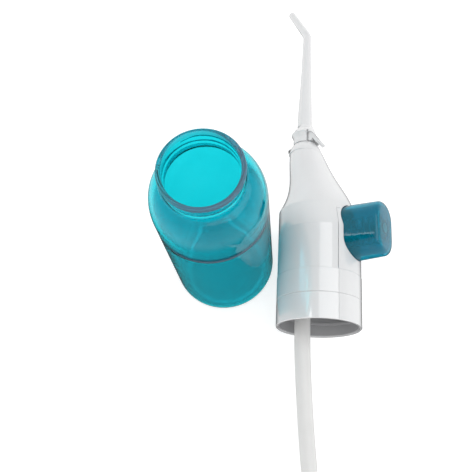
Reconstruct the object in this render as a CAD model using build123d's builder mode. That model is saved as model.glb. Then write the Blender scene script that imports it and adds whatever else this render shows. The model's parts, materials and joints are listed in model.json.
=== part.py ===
from build123d import *

import math
import os

# A hand-pumped water flosser, taken apart as it is for filling: the water bottle stands upright and the
# pump head lies beside it on its side, with the thumb button pointing up and away from the bottle.
# Millimetres. The origin is the centre of the bottle's base, and the floor is z = 0.
#
# The pump head is drawn upright in its own frame and laid down when it is written: z runs up its axis
# from the open rim, and +x points the way the thumb button does.

# Bottle
bottle_radius = 26.9
bottle_height = 121.2
bottle_wall = 1.8
floor_thickness = 2.2
base_round = 4.0
shoulder_start = 89.0
shoulder_end = 108.5
neck_radius = 18.3
neck_bore = 16.7
lip_radius = 18.95
lip_height = 2.4
band_height = 81.0
band_depth = 0.3
band_width = 2.2

# Thread between the neck and the collar
thread_pitch = 4.0
thread_depth = 1.1
thread_turns = 1.35

# Head: lie and outer shape
head_at = (52.0, -41.0)
roll = 29.0
body_radius = 22.0
upper_radius = 21.85
step_height = 25.8
shell_wall = 1.6
skirt_wall = 1.0
seam_height = 13.5
panel_angle = 37.0
panel_height = 60.0
seam_gap = 0.15
bevel_angle = 9.0
bevel_length = 31.0
bevel_depth = 0.45
shoulder_low = 50.0
shoulder_high = 63.0
head_top = 100.5

# Cross-sections of the sloping shoulder above shoulder_high: height, centre x and radius
shoulder_sections = ((63.0, -1.9, 20.2), (73.0, -1.8, 16.15), (84.0, -4.55, 12.65),
                     (92.0, -6.8, 10.95), (head_top, -8.7, 9.15))

# Collar and deck
collar_bore = 20.2
collar_low = 0.8
deck_low = 17.0
deck_high = 19.5
gasket_thickness = 1.4

# Thumb button, centred at button_height and travelling along -x
button_height = 48.8
button_half_width = 10.4
button_half_tall = 14.9
button_corner = 10.0
button_wall = 1.6
button_inner_end = 12.9
button_guide = 21.0
button_face = 37.8
button_taper = 0.5
button_lip = 1.1
button_clearance = 0.35

# Pump
pump_x = -9.4
barrel_bore = 6.5
barrel_radius = 7.8
barrel_back = -14.5
barrel_front = 12.0
boss_radius = 5.4
rod_radius = 2.5
fit_gap = 0.06
valve_radius = 4.4
port_radius = 1.6
ball_radius = 2.2
ball_room = 2.65
ball_gap = 0.1

# Swivel and nozzle
socket_radius = 5.8
sleeve_radius = 4.9
shaft_radius = 3.2
ring_radius = 9.15
ring_low = 100.65
ring_high = 106.9
nozzle_base = 107.05
flange_height = 113.9
flange_radius = 7.9
waist_radius = 6.7
stem_start = 119.0
slit_x = -6.0

# Suction tube
tube_radius = 4.1
tube_bore = 2.4
barb_radius = 2.36
barb_low = 7.0

lying = Location(Plane(
    origin=(head_at[0], head_at[1], body_radius),
    x_dir=(math.cos(math.radians(roll)), 0, math.sin(math.radians(roll))),
    z_dir=(0, 1, 0),
))
side_plane = Plane.XZ
press_plane = Plane(origin=(0, 0, button_height), x_dir=(0, 1, 0), z_dir=(1, 0, 0))

os.makedirs("parts", exist_ok=True)


def write(piece, name, place=Location()):
    """Label a finished piece, put it in its place and write it as parts/name.step."""
    placed = piece.part.moved(place)
    placed.label = name
    export_step(placed, f"parts/{name}.step")


def thread_ridge(radius, depth, start, root=0.4):
    """A helical ridge that stands depth off a wall; a negative depth stands inward."""
    side = 1 if depth > 0 else -1
    with BuildPart() as ridge:
        with BuildLine():
            turn = Helix(thread_pitch, thread_pitch * thread_turns, radius, center=(0, 0, start))
        with BuildSketch(Plane(origin=turn @ 0, x_dir=(1, 0, 0), z_dir=turn % 0)):
            Polygon((-side * root, -1.1), (side * abs(depth), -0.45),
                    (side * abs(depth), 0.45), (-side * root, 1.1), align=None)
        sweep(path=turn, is_frenet=True)
    return ridge.part


def bar(radius, low, high, bore=0.0, at=0.0):
    """A round bar or tube that stands on the z axis of a part, added to the part being built."""
    with BuildSketch(Plane.XY.offset(low)) as section:
        with Locations((at, 0)):
            Circle(radius)
            if bore:
                Circle(bore, mode=Mode.SUBTRACT)
    extrude(section.sketch, amount=high - low)


def hole(radius, low, high, at=0.0, y=0.0):
    """A round hole along z, cut out of the part being built."""
    with BuildSketch(Plane.XY.offset(low)) as section:
        with Locations((at, y)):
            Circle(radius)
    extrude(section.sketch, amount=high - low, mode=Mode.SUBTRACT)


def cross_bar(radius, back, front, bore=0.0, mode=Mode.ADD):
    """A round bar, tube or hole along the pump's axis, which is the thumb button's."""
    with BuildSketch(press_plane.offset(back)) as section:
        Circle(radius)
        if bore:
            Circle(bore, mode=Mode.SUBTRACT)
    extrude(section.sketch, amount=front - back, mode=mode)


def button_outline(at, grow):
    """The button's rounded outline at a distance along its axis, grown all round."""
    with BuildSketch(press_plane.offset(at)) as outline:
        RectangleRounded(2 * (button_half_width + grow), 2 * (button_half_tall + grow),
                         button_corner + grow)
    return outline.sketch


def stadium_cut():
    """The opening for the thumb button, cut through the part being built."""
    extrude(button_outline(5.0, button_clearance), amount=40.0, mode=Mode.SUBTRACT)


def wedge(angle, gap=0.0):
    """A sector of the plan, open toward +x, with its sides moved inward by gap."""
    reach = 60.0
    c, s = math.cos(math.radians(angle)), math.sin(math.radians(angle))
    apex = gap / s
    return Polygon((apex, 0), (apex + reach * c, -reach * s), (apex + reach * c, reach * s), align=None)


def body_wall():
    """The round body below the shoulder: a thin skirt, then a thicker wall with a slight step."""
    with BuildSketch(side_plane) as wall:
        with BuildLine():
            Polyline((body_radius - skirt_wall, 0), (body_radius - 0.3, 0), (body_radius, 0.3),
                     (body_radius, seam_height - 0.25), (body_radius - 0.35, seam_height),
                     (body_radius, seam_height + 0.25), (body_radius, step_height),
                     (upper_radius, step_height + 0.3), (upper_radius, shoulder_low),
                     (body_radius - shell_wall, shoulder_low), (body_radius - shell_wall, deck_low),
                     (body_radius - skirt_wall, deck_low), close=True)
        make_face()
    revolve(wall.sketch, axis=Axis.Z)


# ---- Bottle: blown body with a rounded shoulder, a band groove and a threaded neck ----
neck_ridge = thread_ridge(neck_radius, thread_depth, 110.6)
inner_radius = bottle_radius - bottle_wall
shoulder_rise = shoulder_end - shoulder_start
with BuildPart() as bottle:
    with BuildSketch(side_plane):
        with BuildLine():
            Polyline((0, 0), (17.0, 0), (17.6, 0.7), (19.4, 0.7), (20.0, 0), (bottle_radius - base_round, 0))
            RadiusArc((bottle_radius - base_round, 0), (bottle_radius, base_round), -base_round)
            Polyline((bottle_radius, base_round), (bottle_radius, band_height - band_width / 2),
                     (bottle_radius - band_depth, band_height),
                     (bottle_radius, band_height + band_width / 2), (bottle_radius, shoulder_start))
            EllipticalCenterArc((neck_radius, shoulder_start), bottle_radius - neck_radius, shoulder_rise,
                                start_angle=0, arc_size=90)
            lip_low = bottle_height - lip_height
            Polyline((neck_radius, shoulder_end), (neck_radius, lip_low - 0.6), (lip_radius, lip_low),
                     (lip_radius, bottle_height - 0.6), (lip_radius - 0.6, bottle_height),
                     (neck_bore + 0.4, bottle_height), (neck_bore, bottle_height - 0.4),
                     (neck_bore, shoulder_end - bottle_wall))
            EllipticalCenterArc((neck_bore, shoulder_start), inner_radius - neck_bore,
                                shoulder_rise - bottle_wall, start_angle=0, arc_size=90)
            Polyline((inner_radius, shoulder_start), (inner_radius, floor_thickness + 3.0))
            RadiusArc((inner_radius, floor_thickness + 3.0), (inner_radius - 3.0, floor_thickness), 3.0)
            Polyline((inner_radius - 3.0, floor_thickness), (0, floor_thickness), (0, 0))
        make_face()
    revolve(axis=Axis.Z)
    add(neck_ridge)
write(bottle, "bottle")

# ---- Threaded collar: the liner of the skirt, which the bottle's neck screws into ----
collar_ridge = thread_ridge(collar_bore, -0.95, 6.0)
with BuildPart() as threaded_collar:
    bar(body_radius - skirt_wall, collar_low, deck_low, collar_bore)
    add(collar_ridge)
write(threaded_collar, "threaded_collar", lying)

# ---- Shell: the round body and its sloping shoulder, later parted into rear shell and front panel ----
def shoulder(wall, mode):
    """The leaning shoulder as a solid, drawn in by a wall thickness: a straight part, then a smooth one."""
    thinner = wall + 0.2 if wall else 0.0
    with BuildSketch(Plane.XY.offset(shoulder_low)) as low:
        Circle(upper_radius - wall)
    with BuildSketch(Plane.XY.offset(shoulder_high)) as high:
        with Locations((shoulder_sections[0][1], 0)):
            Circle(shoulder_sections[0][2] - thinner)
    loft([low.sketch, high.sketch], ruled=True, mode=mode)
    outlines = []
    for height, centre, radius in shoulder_sections:
        with BuildSketch(Plane.XY.offset(min(height, head_top - wall))) as outline:
            with Locations((centre, 0)):
                Circle(radius - thinner)
        outlines.append(outline.sketch)
    loft(outlines, mode=mode)


with BuildPart() as shell:
    body_wall()
    shoulder(0.0, Mode.ADD)
    shoulder(shell_wall, Mode.SUBTRACT)
    hole(socket_radius + 0.05, head_top - 3.0, head_top + 1.0, pump_x)
    stadium_cut()

with BuildPart() as rear_shell:
    add(shell.part)
    with BuildSketch(Plane.XY.offset(-1.0)):
        wedge(panel_angle)
    extrude(amount=panel_height + 1.0, mode=Mode.SUBTRACT)
    # A shallow bevel runs down both sides of the front panel
    for side in (1, -1):
        seam, far = math.radians(panel_angle), math.radians(panel_angle + bevel_angle)
        outside, bottom = upper_radius + 1.5, upper_radius - bevel_depth
        with BuildSketch(Plane.XY.offset(step_height + 0.3)):
            Polygon((outside * math.cos(far), side * outside * math.sin(far)),
                    (outside * math.cos(seam), side * outside * math.sin(seam)),
                    (bottom * math.cos(seam), side * bottom * math.sin(seam)),
                    (upper_radius * math.cos(far), side * upper_radius * math.sin(far)), align=None)
        extrude(amount=bevel_length, mode=Mode.SUBTRACT)
write(rear_shell, "rear_shell", lying)

with BuildPart() as front_panel:
    add(shell.part)
    with BuildSketch(Plane.XY.offset(-1.0)):
        wedge(panel_angle, seam_gap)
    extrude(amount=panel_height + 1.0 - seam_gap, mode=Mode.INTERSECT)
write(front_panel, "front_panel", lying)

# ---- Deck: the floor of the pump compartment, above the bottle's mouth ----
screw_x, screw_y = -1.0, 11.0
screw_radius, screw_head = 1.2, 2.2
screw_hole = screw_radius + 0.05
foot_thickness = 2.5
vent_x, vent_stem = 11.0, 1.0
barb_flange = 5.6
with BuildPart() as deck_plate:
    bar(body_radius - shell_wall, deck_low, deck_high)
    hole(3.5, deck_low, deck_high, pump_x)
    hole(vent_stem + 0.05, deck_low, deck_high, vent_x)
    for side in (1, -1):
        hole(screw_hole, deck_low, deck_high, screw_x, side * screw_y)
write(deck_plate, "deck_plate", lying)

with BuildPart() as bottle_gasket:
    bar(collar_bore - 0.15, deck_low - gasket_thickness, deck_low, neck_bore - 0.9)
write(bottle_gasket, "bottle_gasket", lying)

with BuildPart() as vent_valve:
    bar(vent_stem, deck_low - 1.2, deck_high + 0.2, at=vent_x)
    with BuildSketch(Plane.XY.offset(deck_high)):
        with Locations((vent_x, 0)):
            Circle(3.2)
    extrude(amount=0.8, taper=35)
write(vent_valve, "vent_valve", lying)

# ---- Suction side: barb, non-return valve and its ball ----
with BuildPart() as tube_barb:
    bar(barb_radius, barb_low, deck_low - 1.0, at=pump_x)
    bar(4.6, deck_low - 1.0, deck_low, at=pump_x)
    bar(3.45, deck_low, deck_high, at=pump_x)
    bar(barb_flange, deck_high, deck_high + 1.5, at=pump_x)
    hole(port_radius, barb_low, deck_high + 1.5, pump_x)
write(tube_barb, "tube_barb", lying)

valve_low = deck_high + 1.5
inlet_seat = 28.0
boss_low, boss_high = 36.0, 63.0
socket_depth = 4.5
seat_rise = math.sqrt(ball_radius ** 2 - port_radius ** 2)
with BuildPart() as inlet_valve_body:
    bar(valve_radius, valve_low, boss_low + socket_depth, port_radius, pump_x)
    hole(ball_room, inlet_seat, inlet_seat + 6.5, pump_x)
write(inlet_valve_body, "inlet_valve_body", lying)

with BuildPart() as inlet_ball:
    with Locations((pump_x, 0, inlet_seat + seat_rise + ball_gap)):
        Sphere(ball_radius)
write(inlet_ball, "inlet_ball", lying)

# ---- Pump barrel, with the boss that the two valve bodies plug into ----
with BuildPart() as pump_barrel:
    cross_bar(barrel_radius, barrel_back, barrel_front)
    bar(boss_radius, boss_low, boss_high, at=pump_x)
    cross_bar(barrel_bore, barrel_back + 1.8, barrel_front, mode=Mode.SUBTRACT)
    hole(port_radius, boss_low, boss_high, pump_x)
    hole(valve_radius, boss_low, boss_low + socket_depth, pump_x)
    hole(valve_radius, boss_high - socket_depth, boss_high, pump_x)
write(pump_barrel, "pump_barrel", lying)

cap_radius, cap_thickness = 8.2, 2.0
wiper_radius = rod_radius + fit_gap + 0.5
with BuildPart() as barrel_cap:
    cross_bar(cap_radius, barrel_front, barrel_front + cap_thickness, wiper_radius)
write(barrel_cap, "barrel_cap", lying)

with BuildPart() as rod_wiper:
    cross_bar(wiper_radius, barrel_front + 0.4, barrel_front + 1.6, rod_radius + fit_gap)
write(rod_wiper, "rod_wiper", lying)

saddle_front, saddle_back = 1.5, -3.5
foot_reach, cradle_reach = 14.0, 8.2
with BuildPart() as pump_bracket:
    with BuildSketch(Plane.YZ.offset(saddle_back)):
        with BuildLine():
            foot_high, saddle_high = deck_high + foot_thickness, button_height - 2.0
            Polyline((-foot_reach, deck_high), (foot_reach, deck_high), (foot_reach, foot_high),
                     (cradle_reach, foot_high), (cradle_reach, saddle_high), (-cradle_reach, saddle_high),
                     (-cradle_reach, foot_high), (-foot_reach, foot_high), (-foot_reach, deck_high))
        make_face()
        with Locations((0, 28.0)):
            Rectangle(8.0, 8.0, mode=Mode.SUBTRACT)
    extrude(amount=saddle_front - saddle_back)
    cross_bar(barrel_radius, saddle_back, saddle_front, mode=Mode.SUBTRACT)
    hole(valve_radius + 0.3, deck_high, boss_low, pump_x)
    hole(boss_radius + 0.3, boss_low, button_height, pump_x)
    hole(barb_flange + 0.3, deck_high, deck_high + 1.8, pump_x)
    for side in (1, -1):
        hole(screw_hole, deck_high, deck_high + foot_thickness, screw_x, side * screw_y)
write(pump_bracket, "pump_bracket", lying)

with BuildPart() as pump_screws:
    for side in (1, -1):
        with BuildSketch(Plane.XY.offset(deck_low)):
            with Locations((screw_x, side * screw_y)):
                Circle(screw_radius)
        extrude(amount=deck_high + foot_thickness - deck_low)
        with BuildSketch(Plane.XY.offset(deck_high + foot_thickness)):
            with Locations((screw_x, side * screw_y)):
                Circle(screw_head)
        extrude(amount=1.5)
        with BuildSketch(Plane.XY.offset(deck_high + foot_thickness + 1.5)):
            with Locations((screw_x, side * screw_y)):
                Rectangle(3.0, 0.6)
                Rectangle(0.6, 3.0)
        extrude(amount=-0.9, mode=Mode.SUBTRACT)
write(pump_screws, "pump_screws", lying)

# ---- Plunger: piston, its seal, its rod and the hollow thumb button ----
piston_front, piston_back = 9.5, 5.0
groove_low, groove_high = 6.2, 8.2
groove_floor = 4.8
with BuildPart() as piston_head:
    cross_bar(barrel_bore - 0.3, piston_back, piston_front)
    cross_bar(barrel_bore, groove_low, groove_high, groove_floor, mode=Mode.SUBTRACT)
write(piston_head, "piston_head", lying)

with BuildPart() as piston_seal:
    cross_bar(barrel_bore - fit_gap, groove_low + 0.1, groove_high - 0.1, groove_floor)
write(piston_seal, "piston_seal", lying)

boss_end = button_face - 10.5
inner_face = button_face - button_wall - 0.2
with BuildPart() as piston_rod:
    cross_bar(rod_radius, piston_front, inner_face)
write(piston_rod, "piston_rod", lying)

with BuildPart() as thumb_button:
    extrude(button_outline(button_inner_end, 0), amount=button_guide - button_inner_end)
    loft([button_outline(button_guide, 0), button_outline(button_face, -button_taper)])
    fillet(faces().sort_by(Axis.X)[-1].edges(), 2.4)
    extrude(button_outline(button_inner_end, button_lip), amount=1.2)
    loft([button_outline(button_inner_end, -button_wall),
          button_outline(inner_face, -button_wall - button_taper)], mode=Mode.SUBTRACT)
    cross_bar(rod_radius + 1.6, boss_end, inner_face + 0.4)
    cross_bar(rod_radius, boss_end, inner_face, mode=Mode.SUBTRACT)
write(thumb_button, "thumb_button", lying)

spring_radius, spring_wire, spring_turns = 7.0, 0.45, 7
spring_low = barrel_front + cap_thickness + spring_wire
spring_high = inner_face - spring_wire
with BuildPart() as return_spring:
    with BuildLine():
        coil = Helix((spring_high - spring_low) / spring_turns, spring_high - spring_low, spring_radius,
                     center=(spring_low, 0, button_height), direction=(1, 0, 0))
    with BuildSketch(Plane(origin=coil @ 0, z_dir=coil % 0)):
        Circle(spring_wire)
    sweep(path=coil, is_frenet=True)
write(return_spring, "return_spring", lying)

# ---- Delivery side: non-return valve, its ball and spring, and the riser to the nozzle ----
outlet_seat = 66.0
outlet_roof = 75.0
outlet_top = 79.0
riser_radius = 2.85
outlet_ball_height = outlet_seat + seat_rise + ball_gap
with BuildPart() as outlet_valve_body:
    bar(valve_radius, boss_high - socket_depth, outlet_top, port_radius, pump_x)
    hole(ball_room, outlet_seat, outlet_roof, pump_x)
    hole(riser_radius + 0.05, outlet_roof, outlet_top, pump_x)
write(outlet_valve_body, "outlet_valve_body", lying)

with BuildPart() as outlet_ball:
    with Locations((pump_x, 0, outlet_ball_height)):
        Sphere(ball_radius)
write(outlet_ball, "outlet_ball", lying)

valve_spring_wire = 0.2
valve_spring_low = outlet_ball_height + 1.9
with BuildPart() as outlet_spring:
    with BuildLine():
        rise = outlet_roof - valve_spring_wire - valve_spring_low
        coil = Helix(rise / 4, rise, 1.75, center=(pump_x, 0, valve_spring_low))
    with BuildSketch(Plane(origin=coil @ 0, z_dir=coil % 0)):
        Circle(valve_spring_wire)
    sweep(path=coil, is_frenet=True)
write(outlet_spring, "outlet_spring", lying)

with BuildPart() as delivery_riser:
    bar(riser_radius, outlet_roof, 84.5, 1.3, pump_x)
write(delivery_riser, "delivery_riser", lying)

# ---- Swivel: a fixed socket in the head's top, and the ring and sleeve that turn in it ----
socket_low = 81.0
with BuildPart() as nozzle_socket:
    bar(socket_radius, socket_low, head_top, at=pump_x)
    bar(7.4, head_top, ring_low - 0.1, at=pump_x)
    hole(sleeve_radius + fit_gap, socket_low + 3.0, head_top + 1.0, pump_x)
    hole(riser_radius + 0.05, socket_low, socket_low + 3.1, pump_x)
write(nozzle_socket, "nozzle_socket", lying)

sleeve_low = 87.0
seal_low, seal_high = 90.0, 92.0
seal_depth = 0.8
index_at = (pump_x - 8.3, 104.3)
index_radius = 1.05
with BuildPart() as ring_dome:
    with BuildSketch(side_plane):
        with BuildLine():
            Polyline((0, ring_low), (ring_radius - 0.3, ring_low), (ring_radius, ring_low + 0.4))
            Spline((ring_radius, ring_low + 0.4), (8.75, 102.8), (8.0, 104.5), (6.5, ring_high - 0.2))
            Polyline((6.5, ring_high - 0.2), (6.2, ring_high), (0, ring_high), (0, ring_low))
        make_face()
    revolve(axis=Axis.Z)
with BuildPart() as swivel_ring:
    add(ring_dome.part.moved(Location((pump_x, 0, 0))))
    bar(sleeve_radius, sleeve_low, ring_low, at=pump_x)
    # A small barrel across the back, on the side away from the button, holds the index pin
    with BuildSketch(side_plane):
        with Locations(index_at):
            Circle(1.75)
    extrude(amount=2.4, both=True)
    hole(shaft_radius + fit_gap, sleeve_low, ring_high + 1.0, pump_x)
    with BuildSketch(Plane.XY.offset(seal_low)):
        with Locations((pump_x, 0)):
            Circle(sleeve_radius + 1.0)
            Circle(sleeve_radius - seal_depth, mode=Mode.SUBTRACT)
    extrude(amount=seal_high - seal_low, mode=Mode.SUBTRACT)
    with BuildSketch(side_plane):
        with Locations(index_at):
            Circle(index_radius)
    extrude(amount=8.0, both=True, mode=Mode.SUBTRACT)
write(swivel_ring, "swivel_ring", lying)

with BuildPart() as swivel_seal:
    bar(sleeve_radius, seal_low + 0.1, seal_high - 0.1, sleeve_radius - seal_depth, pump_x)
write(swivel_seal, "swivel_seal", lying)

with BuildPart() as index_pin:
    with BuildSketch(side_plane):
        with Locations(index_at):
            Circle(index_radius)
    extrude(amount=2.8, both=True)
write(index_pin, "index_pin", lying)

# ---- Nozzle: shaft, base with its slit for the tab, tapered stem and angled tip ----
shaft_low = 89.0
pin_at = (-4.9, 113.3)
pin_radius = 0.5
pin_hole = pin_radius + 0.05
ring_grooves = (93.0, 98.0)
stem_sections = ((stem_start, -10.1, 4.1), (130.0, -10.0, 3.8), (154.0, -9.6, 2.95), (177.0, -9.45, 2.35))
bend_corner = (-9.4, 182.0)
bend_radius = 7.0
tip_lean = 29.0
tip_reach = 23.2
tip_radius = 1.95
tip_bore = 0.55


def stem_plane(x, z, lean=0.0):
    """A cross-section plane of the nozzle whose normal leans away from the button."""
    tilt = math.radians(lean)
    return Plane(origin=(x, 0, z), x_dir=(0, 1, 0), z_dir=(-math.sin(tilt), 0, math.cos(tilt)))


with BuildPart() as nozzle:
    with BuildSketch(side_plane):
        with BuildLine():
            Polyline((0, nozzle_base), (waist_radius, nozzle_base), (waist_radius, 110.4),
                     (flange_radius - 0.3, 112.7))
            Spline((flange_radius - 0.3, 112.7), (flange_radius, 113.3), (flange_radius - 0.35, flange_height))
            Spline((flange_radius - 0.35, flange_height), (5.9, 116.3), (4.1, stem_start),
                   tangents=((-1, 0.9), (-0.2, 1)))
            Polyline((4.1, stem_start), (0, stem_start), (0, nozzle_base))
        make_face()
    revolve(axis=Axis.Z)
nozzle_foot = nozzle.part.moved(Location((pump_x, 0, 0)))
with BuildPart() as nozzle:
    add(nozzle_foot)
    bar(shaft_radius, shaft_low, nozzle_base, at=pump_x)
    for low in ring_grooves:
        with BuildSketch(Plane.XY.offset(low)):
            with Locations((pump_x, 0)):
                Circle(shaft_radius + 1.0)
                Circle(shaft_radius - seal_depth, mode=Mode.SUBTRACT)
        extrude(amount=1.6, mode=Mode.SUBTRACT)
    # The front of the base is cut away for the tab: a slit below and a pocket above
    with BuildSketch(side_plane):
        Polygon((slit_x, nozzle_base - 1), (4.0, nozzle_base - 1), (4.0, 112.8), (slit_x, 112.8), align=None)
    extrude(amount=12.0, both=True, mode=Mode.SUBTRACT)
    with BuildSketch(side_plane):
        Polygon((slit_x, 112.7), (4.0, 112.7), (4.0, 121.0), (-5.1, 121.0), (-5.1, 115.0),
                (slit_x, 115.0), align=None)
    extrude(amount=4.5, both=True, mode=Mode.SUBTRACT)
    with BuildSketch(side_plane):
        Polygon((-5.0, 114.9), (1.4, 106.4), (4.0, 106.4), (4.0, 121.0), (-5.0, 121.0), align=None)
    extrude(amount=12.0, both=True, mode=Mode.SUBTRACT)
    for height, centre, radius in stem_sections:
        with BuildSketch(stem_plane(centre, height)):
            Circle(radius)
    loft(ruled=True)
    # The stem's last stretch and the bend, as an arc turned in equal steps
    tangent = bend_radius * math.tan(math.radians(tip_lean) / 2)
    bend_low = bend_corner[1] - tangent
    bend_steps = 6
    with BuildSketch(stem_plane(stem_sections[-1][1], stem_sections[-1][0])):
        Circle(stem_sections[-1][2])
    for step in range(bend_steps + 1):
        lean = tip_lean * step / bend_steps
        swing = math.radians(lean)
        with BuildSketch(stem_plane(bend_corner[0] - bend_radius * (1 - math.cos(swing)),
                                    bend_low + bend_radius * math.sin(swing), lean)):
            Circle(2.32 - 0.02 * step / bend_steps)
    loft(ruled=True)
    tip_plane = stem_plane(*bend_corner, tip_lean)
    with BuildSketch(tip_plane.offset(tangent)):
        Circle(2.3)
    with BuildSketch(tip_plane.offset(tip_reach)):
        Circle(tip_radius)
    loft()
    fillet(edges().sort_by(Axis(tip_plane.origin, tip_plane.z_dir))[-1], 0.4)
    # Waterway: up the shaft and stem, then out along the tip
    with BuildSketch(Plane.XY.offset(shaft_low)):
        with Locations((pump_x, 0)):
            Circle(1.5)
    with BuildSketch(stem_plane(*bend_corner)):
        Circle(0.8)
    loft(mode=Mode.SUBTRACT)
    with BuildSketch(tip_plane.offset(tip_reach)):
        Circle(tip_bore)
    extrude(amount=-tip_reach, mode=Mode.SUBTRACT)
    with BuildSketch(side_plane):
        with Locations(pin_at):
            Circle(pin_hole)
    extrude(amount=12.0, both=True, mode=Mode.SUBTRACT)
write(nozzle, "nozzle", lying)

with BuildPart() as nozzle_seals:
    for low in ring_grooves:
        bar(shaft_radius, low + 0.1, low + 1.5, shaft_radius - seal_depth, pump_x)
write(nozzle_seals, "nozzle_seals", lying)

# ---- Release tab: a sprung thumb tab on the front of the nozzle's base, and its pin ----
with BuildPart() as release_tab:
    with BuildSketch(side_plane):
        Polygon((-5.4, 107.7), (-2.9, 107.7), (-2.9, 109.0), (-0.6, 105.7), (0.95, 106.2),
                (0.95, 107.0), (-4.95, 114.6), (-5.4, 114.6), align=None)
        with Locations(pin_at):
            Circle(pin_hole, mode=Mode.SUBTRACT)
    extrude(amount=4.2, both=True)
    fillet(edges().filter_by(Axis.Y).group_by(Axis.X)[-1], 0.4)
write(release_tab, "release_tab", lying)

with BuildPart() as tab_pin:
    with BuildSketch(side_plane):
        with Locations(pin_at):
            Circle(pin_radius)
    extrude(amount=4.9, both=True)
write(tab_pin, "tab_pin", lying)

# ---- Suction tube: leaves the head straight and sags to the floor. Points are (x, y, z) as it lies ----
tube_x = head_at[0] + pump_x * math.cos(math.radians(roll))
tube_z = body_radius + pump_x * math.sin(math.radians(roll))
tube_y = head_at[1]
tube_floor = tube_radius + 0.1
tube_points = [
    (tube_x, tube_y + deck_low - 1.0, tube_z),
    (tube_x, tube_y - 8.0, tube_z),
    (tube_x + 1.3, tube_y - 30.0, tube_z - 3.4),
    (tube_x + 2.9, tube_y - 50.0, tube_z - 8.6),
    (tube_x + 4.7, tube_y - 68.0, tube_floor + 1.1),
    (tube_x + 6.6, tube_y - 86.0, tube_floor),
    (tube_x + 8.2, tube_y - 101.0, tube_floor),
]
corners = [Vector(*point) for point in tube_points]
tube_radii = []
for before, here, after in zip(corners, corners[1:], corners[2:]):
    turn = (here - before).get_angle(after - here)
    shorter = min((here - before).length, (after - here).length)
    tube_radii.append(0.45 * shorter / math.tan(math.radians(turn) / 2))
print("suction tube radii", [round(r, 1) for r in tube_radii])
with BuildPart() as suction_tube:
    with BuildLine():
        tube_path = FilletPolyline(*tube_points, radius=tube_radii)
    with BuildSketch(Plane(origin=tube_path @ 0, z_dir=tube_path % 0)):
        Circle(tube_radius)
        Circle(tube_bore, mode=Mode.SUBTRACT)
    sweep(path=tube_path)
section = math.pi * (tube_radius ** 2 - tube_bore ** 2)
print("suction tube length", round(tube_path.length, 1), "volume over section times length",
      round(suction_tube.part.volume / (section * tube_path.length), 4))
write(suction_tube, "suction_tube")
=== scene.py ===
import bmesh
import bpy
import json
import math
from mathutils import Matrix, Vector


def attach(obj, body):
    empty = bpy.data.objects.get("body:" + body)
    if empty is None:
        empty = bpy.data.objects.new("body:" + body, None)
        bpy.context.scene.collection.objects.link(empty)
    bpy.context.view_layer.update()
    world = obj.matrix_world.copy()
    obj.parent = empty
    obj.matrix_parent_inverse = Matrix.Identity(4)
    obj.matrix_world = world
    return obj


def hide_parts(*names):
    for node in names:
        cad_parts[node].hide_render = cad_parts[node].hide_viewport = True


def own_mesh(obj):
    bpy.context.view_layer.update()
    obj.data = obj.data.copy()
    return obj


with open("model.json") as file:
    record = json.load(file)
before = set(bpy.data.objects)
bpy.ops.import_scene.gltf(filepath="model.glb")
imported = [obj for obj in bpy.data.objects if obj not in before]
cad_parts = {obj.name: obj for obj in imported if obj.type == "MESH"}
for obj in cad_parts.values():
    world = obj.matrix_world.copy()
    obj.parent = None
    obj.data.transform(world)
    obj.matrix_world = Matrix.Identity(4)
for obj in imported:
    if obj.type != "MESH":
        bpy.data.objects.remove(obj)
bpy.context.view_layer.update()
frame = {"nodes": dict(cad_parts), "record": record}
nodes = frame["nodes"]

# ---- Camera: looks steeply down from the front, turned a little to its left ----
LOOK_AZIMUTH, LOOK_DOWN, CAMERA_ROLL = 13.689, 68.714, -11.549
CAMERA_AT = Vector((0.038842, -0.126122, 0.377495))
cam_data = bpy.data.cameras.new("camera")
cam_data.sensor_width = 36.0
cam_data.lens = 53.77
cam = bpy.data.objects.new("camera", cam_data)
bpy.context.scene.collection.objects.link(cam)
psi, down, rho = (math.radians(a) for a in (LOOK_AZIMUTH, LOOK_DOWN, CAMERA_ROLL))
look = Vector((-math.sin(psi) * math.cos(down), math.cos(psi) * math.cos(down), -math.sin(down)))
right = Vector((math.cos(psi), math.sin(psi), 0))
up = right.cross(look)
axes = (right * math.cos(rho) + up * math.sin(rho), up * math.cos(rho) - right * math.sin(rho), -look)
pose = Matrix(axes).transposed().to_4x4()
pose.translation = CAMERA_AT
cam.matrix_world = pose
bpy.context.scene.camera = cam
bpy.context.scene.view_settings.view_transform = "Standard"

MM = 0.001

# ---- The head's own frame in mm, as it lies: x is the way the button points, z runs up the axis ----
ROLL = math.radians(29.0)
HEAD_AT = Vector((52.0, -41.0, 22.0))
PRESS = Vector((math.cos(ROLL), 0, math.sin(ROLL)))
ACROSS = Vector((math.sin(ROLL), 0, -math.cos(ROLL)))
PUMP_X = -9.4
BUTTON_HEIGHT = 48.8

# ---- Shared dimensions of the bottle, in mm ----
BOTTLE_RADIUS, INNER_RADIUS = 26.9, 25.1
NECK_RADIUS, NECK_BORE, LIP_RADIUS = 18.3, 16.7, 18.95
SHOULDER_START = 89.0
BAND_HEIGHT, BAND_HALF, BAND_DEPTH, BAND_TURN = 81.0, 1.4, 0.25, 1.21
PITCH, TURNS, THREAD_START, THREAD_DEPTH, THREAD_HALF = 4.0, 1.35, 110.6, 1.1, 1.15


def lie(x, y, z):
    """A point of the upright head, in mm, as a point of the row frame in metres."""
    return (HEAD_AT + PRESS * x + ACROSS * y + Vector((0, 1, 0)) * z) * MM


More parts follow.
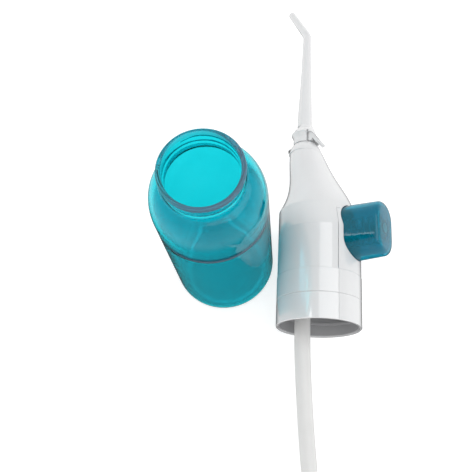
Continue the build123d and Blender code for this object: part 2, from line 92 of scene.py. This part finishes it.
# ---- Mesh tools ----
def skin(name, rings, start="pole", end="pole", sharp=40.0):
    """Bridge rings of equal count into one surface; each end closes to a pole, or the two ends join."""
    count = len(rings[0])
    points = [tuple(p) for ring in rings for p in ring]
    faces = []
    pairs = list(zip(range(len(rings) - 1), range(1, len(rings))))
    if end == "join":
        pairs.append((len(rings) - 1, 0))
    for a, b in pairs:
        for i in range(count):
            j = (i + 1) % count
            faces.append((a * count + i, a * count + j, b * count + j, b * count + i))
    if start == "pole":
        points.append(tuple(sum((Vector(p) for p in rings[0]), Vector()) / count))
        faces += [(len(points) - 1, (i + 1) % count, i) for i in range(count)]
    if end == "pole":
        points.append(tuple(sum((Vector(p) for p in rings[-1]), Vector()) / count))
        base = (len(rings) - 1) * count
        faces += [(len(points) - 1, base + i, base + (i + 1) % count) for i in range(count)]
    mesh = bpy.data.meshes.new(name)
    mesh.from_pydata(points, [], faces)
    mesh.validate()
    solid = bmesh.new()
    solid.from_mesh(mesh)
    bmesh.ops.recalc_face_normals(solid, faces=solid.faces)
    solid.to_mesh(mesh)
    solid.free()
    for polygon in mesh.polygons:
        polygon.use_smooth = True
    mesh.set_sharp_from_angle(angle=math.radians(sharp))
    mesh.update()
    obj = bpy.data.objects.new(name, mesh)
    bpy.context.scene.collection.objects.link(obj)
    return obj


def arc(cx, cz, rx, rz, start, stop, steps):
    """Points of an elliptical arc in a profile, as (radius, height)."""
    out = []
    for k in range(steps + 1):
        a = math.radians(start + (stop - start) * k / steps)
        out.append((cx + rx * math.cos(a), cz + rz * math.sin(a)))
    return out


def line(a, b, steps):
    """Evenly spaced points from just after a up to b."""
    return [(a[0] + (b[0] - a[0]) * k / steps, a[1] + (b[1] - a[1]) * k / steps)
            for k in range(1, steps + 1)]


def bump(x):
    """A smooth rise and fall, 1 at x = 0 and 0 from |x| = 1 on."""
    return 0.0 if abs(x) >= 1 else (1 - x * x) ** 2


# ---- Materials ----
def new_material(name):
    material = bpy.data.materials.new(name)
    material.use_nodes = True
    tree = material.node_tree
    shader = tree.nodes["Principled BSDF"]
    place = tree.nodes.new("ShaderNodeTexCoord")
    return material, tree, shader, place.outputs["Object"]


def noise(tree, where, scale, detail=3.0, stretch=None):
    """A noise texture in object space; stretch scales the axes first."""
    if stretch:
        mapping = tree.nodes.new("ShaderNodeMapping")
        mapping.inputs["Scale"].default_value = stretch
        tree.links.new(where, mapping.inputs["Vector"])
        where = mapping.outputs["Vector"]
    tex = tree.nodes.new("ShaderNodeTexNoise")
    tex.inputs["Scale"].default_value = scale
    tex.inputs["Detail"].default_value = detail
    tree.links.new(where, tex.inputs["Vector"])
    return tex.outputs["Fac"]


def remap(tree, value, low, high, to_low, to_high, smooth=False):
    node = tree.nodes.new("ShaderNodeMapRange")
    if smooth:
        node.interpolation_type = "SMOOTHSTEP"
    for key, number in (("From Min", low), ("From Max", high), ("To Min", to_low), ("To Max", to_high)):
        node.inputs[key].default_value = number
    tree.links.new(value, node.inputs["Value"])
    return node.outputs["Result"]


def mix(tree, factor, a, b):
    """Mix two colours, each a colour or a socket."""
    node = tree.nodes.new("ShaderNodeMix")
    node.data_type = "RGBA"
    tree.links.new(factor, node.inputs["Factor"])
    for socket, value in ((node.inputs[6], a), (node.inputs[7], b)):
        if isinstance(value, tuple):
            socket.default_value = (*value, 1)
        else:
            tree.links.new(value, socket)
    return node.outputs[2]


def combine(tree, operation, a, b=0.0):
    """One maths node on two values, each a socket or a number."""
    node = tree.nodes.new("ShaderNodeMath")
    node.operation = operation
    for socket, value in zip(node.inputs, (a, b)):
        if isinstance(value, float):
            socket.default_value = value
        else:
            tree.links.new(value, socket)
    return node.outputs[0]


def add_bump(tree, shader, height, distance, strength):
    node = tree.nodes.new("ShaderNodeBump")
    node.inputs["Distance"].default_value = distance
    node.inputs["Strength"].default_value = strength
    tree.links.new(height, node.inputs["Height"])
    tree.links.new(node.outputs["Normal"], shader.inputs["Normal"])


def plastic(name, color, other, rough=(0.2, 0.3), grain=1500.0, depth=0.00001, streaks=None, **values):
    """A moulded or drawn surface: two close colours in soft clouds, uneven gloss and a fine grain."""
    material, tree, shader, where = new_material(name)
    clouds = noise(tree, where, 70.0, 4.0)
    blend = mix(tree, remap(tree, clouds, 0.35, 0.65, 0, 1), color, other)
    tree.links.new(blend, shader.inputs["Base Color"])
    patches = noise(tree, where, 260.0, 5.0, streaks)
    tree.links.new(remap(tree, patches, 0.3, 0.7, *rough), shader.inputs["Roughness"])
    add_bump(tree, shader, noise(tree, where, grain, 2.0, streaks), depth, 0.5)
    for key, value in values.items():
        shader.inputs[key.replace("_", " ")].default_value = value
    return material


def height_band(tree, where, centre, half, soft):
    """1 within half of a height above the floor, in metres, falling to 0 over soft."""
    split = tree.nodes.new("ShaderNodeSeparateXYZ")
    tree.links.new(where, split.inputs[0])
    away = combine(tree, "ABSOLUTE", combine(tree, "SUBTRACT", split.outputs["Z"], centre))
    return remap(tree, away, half, half + soft, 1.0, 0.0, smooth=True)


def facing(tree, where, toward, low, high, least=0.0):
    """The least value on the far side of the bottle, and 1 on the side that faces a direction in plan."""
    dot = tree.nodes.new("ShaderNodeVectorMath")
    dot.operation = "DOT_PRODUCT"
    tree.links.new(where, dot.inputs[0])
    dot.inputs[1].default_value = tuple(t / (BOTTLE_RADIUS * MM) for t in toward) + (0,)
    return remap(tree, dot.outputs["Value"], low, high, least, 1.0, smooth=True)


# The bottle is a clear teal, with painted shade at its lip on the right and along the front of its waist
# band
TEAL = (0.007, 0.56, 0.64)
TEAL_PALE = (0.011, 0.59, 0.67)
PAINTED_SHADE = (0.12, 0.19, 0.27)

bottle_mat, tree, shader, where = new_material("teal_clear")
clouds = remap(tree, noise(tree, where, 35.0, 4.0), 0.35, 0.65, 0, 1)
body = mix(tree, clouds, TEAL, TEAL_PALE)
# Painted shade masks: a ring round the lip, strongest on its right side, and the front of the waist band
lip = combine(tree, "MULTIPLY", height_band(tree, where, 0.1203, 0.0009, 0.0006),
              facing(tree, where, (0.80, -0.60), -0.55, 0.35, 0.35))
band = combine(tree, "MULTIPLY", height_band(tree, where, BAND_HEIGHT * MM, 0.0008, 0.0006),
               facing(tree, where, (0.35, -0.94), 0.05, 0.75))
painted_shade_mask = combine(tree, "MAXIMUM", lip, band)
# Where the painted shade lies, the colour turns dark and the wall lets less light through
tree.links.new(mix(tree, painted_shade_mask, body, PAINTED_SHADE), shader.inputs["Base Color"])
tree.links.new(remap(tree, painted_shade_mask, 0, 1, 1.0, 0.45), shader.inputs["Transmission Weight"])
gloss = noise(tree, where, 180.0, 5.0)
tree.links.new(remap(tree, gloss, 0.35, 0.7, 0.02, 0.07), shader.inputs["Roughness"])
add_bump(tree, shader, noise(tree, where, 90.0, 3.0), 0.00004, 0.4)
shader.inputs["IOR"].default_value = 1.36
shader.inputs["Specular IOR Level"].default_value = 0.3

button_mat, tree, shader, where = new_material("teal_deep")
clouds = remap(tree, noise(tree, where, 60.0, 4.0), 0.35, 0.65, 0, 1)
tree.links.new(mix(tree, clouds, (0.0, 0.33, 0.47), (0.002, 0.36, 0.50)), shader.inputs["Base Color"])
gloss = noise(tree, where, 300.0, 5.0)
tree.links.new(remap(tree, gloss, 0.35, 0.7, 0.04, 0.08), shader.inputs["Roughness"])
add_bump(tree, shader, noise(tree, where, 150.0, 3.0), 0.00001, 0.4)
shader.inputs["Transmission Weight"].default_value = 0.72
shader.inputs["IOR"].default_value = 1.42

finishes = {
    "teal_clear": bottle_mat,
    "teal_deep": button_mat,
    "white_abs": plastic("white_abs", (0.76, 0.765, 0.77), (0.74, 0.745, 0.755), (0.16, 0.24), 1800.0,
                         0.000006, IOR=1.55, Coat_Weight=1.0, Coat_Roughness=0.05, Coat_IOR=1.65),
    "white_pom": plastic("white_pom", (0.72, 0.73, 0.73), (0.69, 0.70, 0.70), (0.35, 0.5), 900.0, 0.00002),
    "silicone": plastic("silicone", (0.70, 0.71, 0.70), (0.66, 0.67, 0.66), (0.45, 0.6), 700.0, 0.00002),
    "black_rubber": plastic("black_rubber", (0.03, 0.03, 0.032), (0.05, 0.05, 0.05), (0.5, 0.65), 900.0,
                            0.00002),
    "steel": plastic("steel", (0.62, 0.62, 0.63), (0.56, 0.57, 0.58), (0.4, 0.5), 1200.0, 0.00001,
                     (1, 8, 1), Metallic=1.0),
    # The dark grey of grey_abs is painted shade: it darkens the parts inside the head's skirt, which are
    # white plastic in shadow
    "grey_abs": plastic("grey_abs", (0.36, 0.36, 0.37), (0.33, 0.33, 0.34), (0.35, 0.5), 1200.0, 0.00001),
    "dark_grey": plastic("dark_grey", (0.09, 0.09, 0.095), (0.12, 0.12, 0.12), (0.35, 0.5), 900.0, 0.00002),
    "tube_clear": plastic("tube_clear", (0.83, 0.83, 0.82), (0.80, 0.80, 0.79), (0.3, 0.4), 900.0, 0.000003,
                          IOR=1.43, Transmission_Weight=0.12),
}
slots = {s["node"]: s["material_slot"] for s in frame["record"]["subparts"]}
for name, node in nodes.items():
    node.data.materials.clear()
    node.data.materials.append(finishes[slots[name]])


def show(obj, node, body):
    """Give a built piece the finish of the CAD node it stands for, and let it ride on its body."""
    obj.data.materials.append(finishes[slots[node]])
    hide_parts(node)
    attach(obj, body)
    return obj


# ---- Suction tube: straight runs joined by arcs, through the same points as the CAD ----
TUBE_RADIUS, TUBE_BORE, TUBE_SEGMENTS = 4.1, 2.4, 48
tube_x = HEAD_AT.x + PUMP_X * math.cos(ROLL)
tube_z = HEAD_AT.z + PUMP_X * math.sin(ROLL)
tube_floor = TUBE_RADIUS + 0.1
route = [Vector(p) * MM for p in (
    (tube_x, -25.0, tube_z),
    (tube_x, -49.0, tube_z),
    (tube_x + 1.3, -71.0, tube_z - 3.4),
    (tube_x + 2.9, -91.0, tube_z - 8.6),
    (tube_x + 4.7, -109.0, tube_floor + 1.1),
    (tube_x + 6.6, -127.0, tube_floor),
    (tube_x + 8.2, -142.0, tube_floor),
)]


def rounded(points, steps=14):
    """A route as straight runs joined by arcs tangent to both, as points along it."""
    out = [points[0]]
    for before, here, after in zip(points, points[1:], points[2:]):
        back, on = (before - here), (after - here)
        reach = 0.45 * min(back.length, on.length)
        back.normalize()
        on.normalize()
        turn = math.pi - back.angle(on)
        radius = reach / math.tan(turn / 2)
        middle = here + (back + on).normalized() * (radius / math.cos(turn / 2))
        first, last = here + back * reach - middle, here + on * reach - middle
        for k in range(steps + 1):
            f = k / steps
            swung = first * math.sin((1 - f) * turn) + last * math.sin(f * turn)
            out.append(middle + swung / math.sin(turn))
    return out + [points[-1]]


centreline = bpy.data.curves.new("tube_line", "CURVE")
centreline.dimensions = "3D"
centreline.resolution_u = 2
spline = centreline.splines.new("NURBS")
way = rounded(route)
spline.points.add(len(way) - 1)
for point, p in zip(spline.points, way):
    point.co = (*p, 1)
spline.order_u = 3
spline.use_endpoint_u = True
line_obj = bpy.data.objects.new("tube_line", centreline)
bpy.context.scene.collection.objects.link(line_obj)
bpy.context.view_layer.update()
line_mesh = bpy.data.meshes.new_from_object(line_obj)
path = [v.co.copy() for v in line_mesh.vertices]
bpy.data.objects.remove(line_obj)

side = Vector((1, 0, 0))
frames = []
for i, p in enumerate(path):
    along = (path[min(i + 1, len(path) - 1)] - path[max(i - 1, 0)]).normalized()
    side = (side - along * side.dot(along)).normalized()
    frames.append((p, side.copy(), along.cross(side), along))


def tube_ring(frame_at, radius, shift=0.0):
    p, u, v, along = frame_at
    return [p + along * shift * MM + (u * math.cos(a) + v * math.sin(a)) * radius * MM
            for a in (2 * math.pi * k / TUBE_SEGMENTS for k in range(TUBE_SEGMENTS))]


# Outside from the first end to the last, then back along the bore, with both cut ends chamfered
BEVEL, BORE_BEVEL = 0.15, 0.2
first, last = frames[0], frames[-1]
tube_rings = [tube_ring(first, TUBE_BORE + BORE_BEVEL), tube_ring(first, TUBE_RADIUS - BEVEL),
              tube_ring(first, TUBE_RADIUS, BEVEL)]
tube_rings += [tube_ring(f, TUBE_RADIUS) for f in frames[1:-1]]
tube_rings += [tube_ring(last, TUBE_RADIUS, -BEVEL), tube_ring(last, TUBE_RADIUS - BEVEL),
               tube_ring(last, TUBE_BORE + BORE_BEVEL), tube_ring(last, TUBE_BORE, -BORE_BEVEL)]
tube_rings += [tube_ring(f, TUBE_BORE) for f in reversed(frames[1:-1])]
tube_rings += [tube_ring(first, TUBE_BORE, BORE_BEVEL)]
tube = show(skin("tube_wall", tube_rings, start="open", end="join"), "suction_tube", "head")

# ---- Bottle: one blown wall with a beaded lip, a moulded thread, a waist band and a pushed-up foot ----
SEGMENTS = 192
wall_start, wall_end = (BOTTLE_RADIUS, 4.5), (BOTTLE_RADIUS, SHOULDER_START)
band_low, band_high = (BOTTLE_RADIUS, 79.6), (BOTTLE_RADIUS, 82.4)
outer = [(4.0, 0.25), (12.0, 0.1), (16.6, 0.0), (17.0, 0.05), (17.5, 0.6), (18.5, 0.75), (19.5, 0.6),
         (20.0, 0.05), (20.4, 0.0), (22.4, 0.0)]
outer += arc(22.4, 4.5, 4.5, 4.5, -80, 0, 10)
outer += line(wall_start, band_low, 20)
outer += line(band_low, band_high, 10)
outer += line(band_high, wall_end, 4)
outer += arc(NECK_RADIUS, SHOULDER_START, BOTTLE_RADIUS - NECK_RADIUS, 19.0, 4, 86, 24)
outer += [(18.45, 108.2), (NECK_RADIUS, 108.6)]
outer += line((NECK_RADIUS, 108.6), (NECK_RADIUS, 118.0), 44)
outer += [(18.35, 118.35), (18.6, 118.7), (18.85, 119.0), (LIP_RADIUS, 119.4)]
outer += [(LIP_RADIUS, 119.9), (18.9, 120.4), (18.7, 120.8), (18.35, 121.1), (17.9, 121.2), (17.5, 121.15),
          (17.1, 120.95), (16.85, 120.6), (NECK_BORE, 120.1), (NECK_BORE, 119.4)]
inner = line((NECK_BORE, 119.4), (NECK_BORE, 109.6), 10)
inner += [(16.74, 108.9), (16.86, 108.2), (17.1, 107.5), (17.5, 106.9), (18.1, 106.35)]
inner += arc(NECK_BORE, SHOULDER_START, INNER_RADIUS - NECK_BORE, 17.7, 74, 4, 22)
inner += line((INNER_RADIUS, SHOULDER_START), (INNER_RADIUS, 6.0), 28)
inner += arc(21.3, 6.0, 3.8, 3.7, -8, -90, 10)
inner += line((21.3, 2.3), (4.0, 2.45), 6)


def moulded(r, z, share):
    """The radius at a height, with the waist band and the thread; share is the part of a turn round."""
    if band_low[1] < z < band_high[1] and r > INNER_RADIUS:
        # The band is deepest at the front, a little to the right, and fades out round the back
        front = max(0.0, math.cos(2 * math.pi * share + BAND_TURN))
        return r - BAND_DEPTH * front * bump((z - BAND_HEIGHT) / BAND_HALF)
    if 108.7 < z < 118.1 and r > 17.5:
        for turn in range(-1, 3):
            wound = share + turn
            if 0 <= wound <= TURNS:
                fade = min(1.0, wound / 0.06, (TURNS - wound) / 0.06)
                r += THREAD_DEPTH * fade * bump((z - THREAD_START - PITCH * wound) / THREAD_HALF)
    return r


bottle_rings = []
for r, z in outer + inner:
    ring = []
    for k in range(SEGMENTS):
        share = k / SEGMENTS
        radius, a = moulded(r, z, share), 2 * math.pi * share
        ring.append((radius * math.cos(a) * MM, radius * math.sin(a) * MM, z * MM))
    bottle_rings.append(ring)
show(skin("bottle_wall", bottle_rings, sharp=60.0), "bottle", "bottle")

# ---- Thumb button: a hollow shell with a crowned face, a lip at its open end and a boss for the rod ----
HALF_WIDTH, HALF_TALL, CORNER = 10.4, 14.9, 10.0
FACE, INNER_FACE, GUIDE, OPEN_END = 37.25, 36.0, 21.0, 12.9
FACE_ROUND, CROWN, WALL, TAPER = 2.4, 0.6, 1.6, 0.5


def outline(x, inset, crown=0.0):
    """A ring of the button's rounded outline at a distance along its axis."""
    w, h = HALF_WIDTH - inset, HALF_TALL - inset
    c = max(0.05, min(CORNER - inset, w - 0.02, h - 0.02))
    points = []
    for k, (sy, sz) in enumerate(((1, 1), (-1, 1), (-1, -1), (1, -1))):
        cy, cz = sy * (w - c), sz * (h - c)
        start = k * math.pi / 2
        for i in range(25):
            a = start + i / 24 * math.pi / 2
            points.append((cy + c * math.cos(a), cz + c * math.sin(a)))
        ey, ez = points[-1]
        ny, nz = ((-(w - c), h) if k == 0 else (-w, -(h - c)) if k == 1
                  else (w - c, -h) if k == 2 else (w, h - c))
        for i in range(1, 7):
            f = i / 7
            points.append((ey + (ny - ey) * f, ez + (nz - ez) * f))
    return [lie(x + crown * (1 - (y / HALF_WIDTH) ** 2) * (1 - (z / HALF_TALL) ** 2), y, BUTTON_HEIGHT + z)
            for y, z in points]


def boss(x, radius):
    """A round ring about the button's axis, point for point with the outline."""
    return [lie(x, radius * math.cos(a), BUTTON_HEIGHT + radius * math.sin(a)) for a in boss_angles]


# The outline's points set the angles of the boss, so that the two kinds of ring bridge without a twist
boss_angles = []
for p in outline(0, 0):
    d = p - lie(0, 0, BUTTON_HEIGHT)
    boss_angles.append(math.atan2(d.y, d.dot(ACROSS)))
button_rings = [outline(FACE, inset, CROWN) for inset in (9.8, 8.0, 6.0, 4.4, 3.2)]
for k in range(9):
    a = math.radians(90 - 90 * k / 8)
    button_rings.append(outline(FACE - FACE_ROUND * (1 - math.sin(a)),
                                TAPER + FACE_ROUND * (1 - math.cos(a)), CROWN * (1 - k / 8)))
button_rings += [outline(x, TAPER * (x - GUIDE) / 14.0) for x in (32.0, 28.0, 24.0, GUIDE)]
button_rings += [outline(x, 0.0) for x in (18.0, 15.2)]
# The lip that keeps the button in the head, then the inside up to the inner face, then the boss
button_rings += [outline(14.15, -0.1), outline(14.1, -0.4), outline(14.05, -0.9), outline(13.9, -1.1),
                 outline(13.1, -1.1), outline(12.95, -0.95), outline(OPEN_END, -0.7)]
button_rings += [outline(OPEN_END, 1.3), outline(13.1, 1.55), outline(13.4, WALL)]
button_rings += [outline(x, WALL + TAPER * (x - 13.4) / 20.6) for x in (18.0, 22.0, 26.0, 30.0, 34.0)]
button_rings += [outline(35.0, 2.3), outline(35.6, 2.7), outline(35.9, 3.3), outline(INNER_FACE, 4.0)]
button_rings += [boss(INNER_FACE, 5.0), boss(35.85, 4.4), boss(35.4, 4.15), boss(27.6, 4.1),
                 boss(27.35, 4.0), boss(27.3, 3.8), boss(27.3, 2.8), boss(27.4, 2.6), boss(27.6, 2.55),
                 boss(35.8, 2.55)]
show(skin("button_shell", button_rings, sharp=50.0), "thumb_button", "plunger")

# ---- Springs: closed turns at both ends; each is wound between two given heights ----
TURN_STEPS, WIRE_SIDES, CLOSED_TURNS = 40, 12, 0.56


def coil(name, place, axis, low, high, radius, wire, turns):
    """A wound wire whose centre runs from low to high; place(height, u, v) is a point of the head."""
    steps, closed = turns * TURN_STEPS, CLOSED_TURNS / turns
    centres = []
    for k in range(steps + 1):
        f = k / steps
        rise = low + (high - low - 2 * wire) * min(1.0, max(0.0, (f - closed) / (1 - 2 * closed)))
        rise += wire * min(f, closed) / closed + wire * max(f + closed - 1, 0) / closed
        a = 2 * math.pi * turns * f
        centres.append(place(rise, radius * math.cos(a), radius * math.sin(a)))
    rings = []
    for i, p in enumerate(centres):
        along = (centres[min(i + 1, steps)] - centres[max(i - 1, 0)]).normalized()
        out = (axis - along * axis.dot(along)).normalized()
        other = along.cross(out)
        rings.append([p + (out * math.cos(b) + other * math.sin(b)) * wire * MM
                      for b in (2 * math.pi * j / WIRE_SIDES for j in range(WIRE_SIDES))])
    return skin(name, rings)


spring_low, spring_high, wire = 14.5, 35.25, 0.45
spring = show(coil("spring_wire", lambda h, u, v: lie(h, u, BUTTON_HEIGHT + v), PRESS,
                   spring_low, spring_high, 7.0, wire, 7), "return_spring", "head")
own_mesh(spring)

valve_spring = show(coil("valve_spring_wire", lambda h, u, v: lie(PUMP_X + u, v, h), Vector((0, 1, 0)),
                         69.4, 74.75, 1.75, 0.2, 4), "outlet_spring", "head")
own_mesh(valve_spring)

# ---- Floor and light ----
FLOOR_HALF = 3
floor_mesh = bpy.data.meshes.new("floor")
corners = [(x * FLOOR_HALF, y * FLOOR_HALF, 0) for x, y in ((-1, -1), (1, -1), (1, 1), (-1, 1))]
floor_mesh.from_pydata(corners, [], [(0, 1, 2, 3)])
floor = bpy.data.objects.new("floor", floor_mesh)
bpy.context.scene.collection.objects.link(floor)
floor_mat = plastic("floor", (0.62, 0.62, 0.62), (0.61, 0.61, 0.61), (0.7, 0.8), 400.0, 0.00001)
floor_shader = floor_mat.node_tree.nodes["Principled BSDF"]
floor_shader.inputs["Emission Color"].default_value = (1, 1, 1, 1)
floor_shader.inputs["Emission Strength"].default_value = 0.62
floor.data.materials.append(floor_mat)
floor.visible_glossy = False

# The room: white all round, softer overhead, and dark straight below, where steep glossy walls would
# otherwise mirror the floor
world = bpy.data.worlds.new("world")
bpy.context.scene.world = world
world.use_nodes = True
sky = world.node_tree
direction = sky.nodes.new("ShaderNodeTexCoord").outputs["Generated"]
split = sky.nodes.new("ShaderNodeSeparateXYZ")
sky.links.new(direction, split.inputs[0])
from_below = remap(sky, split.outputs["Z"], -0.88, -0.58, 0.06, 1.0, smooth=True)
toward_top = remap(sky, split.outputs["Z"], 0.05, 0.45, 1.0, 0.68, smooth=True)
sky.links.new(combine(sky, "MULTIPLY", from_below, toward_top), sky.nodes["Background"].inputs[1])
sky.nodes["Background"].inputs[0].default_value = (1, 1, 1, 1)


def softbox(name, at, aim, width, tall, power):
    """A rectangular studio light that points at aim."""
    data = bpy.data.lights.new(name, "AREA")
    data.shape = "RECTANGLE"
    data.size, data.size_y = width, tall
    data.energy = power
    light = bpy.data.objects.new(name, data)
    bpy.context.scene.collection.objects.link(light)
    light.location = at
    light.rotation_euler = (Vector(aim) - Vector(at)).to_track_quat("-Z", "Y").to_euler()


softbox("key", (0.35, -0.05, 0.75), (0.03, 0.0, 0.04), 0.80, 0.80, 2.6)
softbox("strip", (-0.35, 0.15, 0.55), (0.0, 0.0, 0.08), 0.10, 0.45, 0.5)
